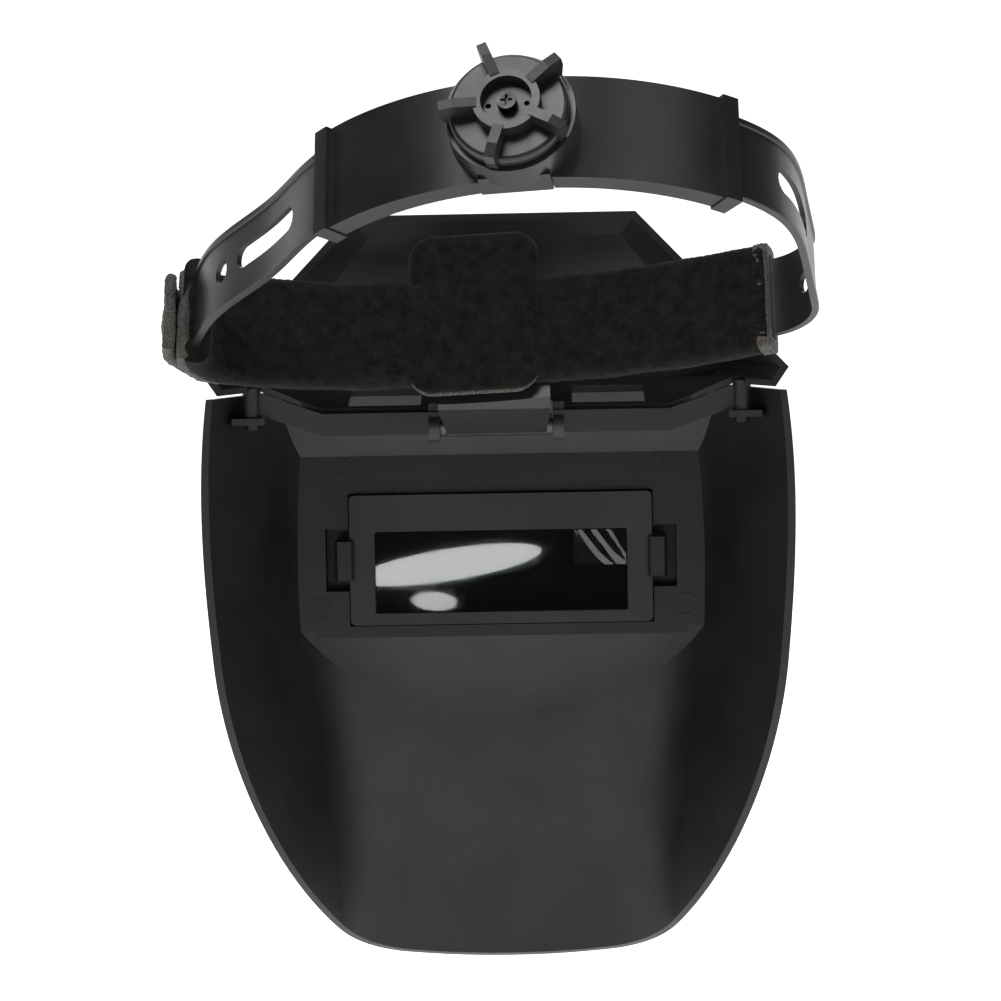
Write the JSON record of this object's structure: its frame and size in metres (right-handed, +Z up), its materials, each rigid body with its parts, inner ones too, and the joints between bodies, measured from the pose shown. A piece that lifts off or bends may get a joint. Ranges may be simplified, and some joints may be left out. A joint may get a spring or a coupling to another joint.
{
  "type": "welding face shield",
  "caption": "Head-worn welding face shield: curved mask with a dark filter window, hinged to a padded headband with a ratchet knob.",
  "frame": {"origin": "centre of the head opening, midway between the headband's front and rear", "axes": "+Y towards the front of the mask, +Z up along the mask, +X to the wearer's right as seen from behind"},
  "size_m": [0.2214, 0.2549, 0.3531],
  "materials": {
    "shell_plastic": "satin black moulded",
    "guard_plastic": "satin black moulded",
    "filter_plastic": "fine textured black",
    "filter_glass": "very dark, polished",
    "clear_cover": "clear polished",
    "solar_film": "dark glossy",
    "circuit": "green lacquered",
    "sensor_lens": "dark glossy",
    "band_plastic": "satin black, slightly flexible",
    "sweat_fabric": "black short pile over grey foam",
    "knob_plastic": "satin black moulded",
    "gear_plastic": "natural nylon",
    "steel": "zinc plated",
    "black_steel": "black zinc"
  },
  "bodies": {
    "headband": {"brow_band": "band_plastic", "sweatband": "sweat_fabric", "strap_left": "band_plastic", "strap_right": "band_plastic", "hinge_arm": "band_plastic", "arm_rivets": "black_steel"},
    "mask": {"shield_shell": "shell_plastic", "brow_guard": "guard_plastic", "corner_screws": "black_steel", "filter_frame": "filter_plastic", "filter_housing": "filter_plastic", "lcd_glass": "filter_glass", "inner_cover_lens": "clear_cover", "outer_cover_lens": "clear_cover", "solar_cell": "solar_film", "circuit_board": "circuit", "light_sensors": "sensor_lens", "hinge_pin": "steel", "friction_washers": "steel"},
    "latch_left": {"clip_left": "shell_plastic"},
    "latch_right": {"clip_right": "shell_plastic"},
    "rear_unit": {"rear_housing": "band_plastic", "rear_cover": "band_plastic", "cover_screws": "steel", "ratchet_base": "knob_plastic"},
    "knob": {"star_knob": "knob_plastic", "pinion": "gear_plastic", "ratchet_spring": "gear_plastic", "knob_screw": "black_steel"}
  },
  "joints": [
    {"name": "mask_flip", "type": "hinge", "parent": "headband", "child": "mask", "pos_m": [0, 0.0943, -0.0711], "axis": [1, 0, 0], "range_deg": [-40, 19]},
    {"name": "rear_slide", "type": "slide", "parent": "headband", "child": "rear_unit", "axis": [0.1219, 0.8681, -0.4812], "range_m": [-0.01, 0.018], "deforming": ["strap_left", "strap_right"]},
    {"name": "knob_turn", "type": "hinge", "parent": "rear_unit", "child": "knob", "pos_m": [0.0102, -0.06428, 0.03563], "axis": [-0.1219, -0.8681, 0.4812], "range_deg": [-231, 129]},
    {"name": "latch_left_flex", "type": "hinge", "parent": "mask", "child": "latch_left", "pos_m": [-0.0627, 0.14089, -0.12653], "axis": [0, -0.0611, -0.9981], "range_deg": [0, 8], "stiffness_Nm_per_rad": 0.2},
    {"name": "latch_right_flex", "type": "hinge", "parent": "mask", "child": "latch_right", "pos_m": [0.0627, 0.14089, -0.12653], "axis": [0, 0.0611, 0.9981], "range_deg": [0, 8], "stiffness_Nm_per_rad": 0.2}
  ],
  "couplings": [
    {"joint": "knob_turn", "follows": "rear_slide", "rad_per_m": -222.22}
  ]
}
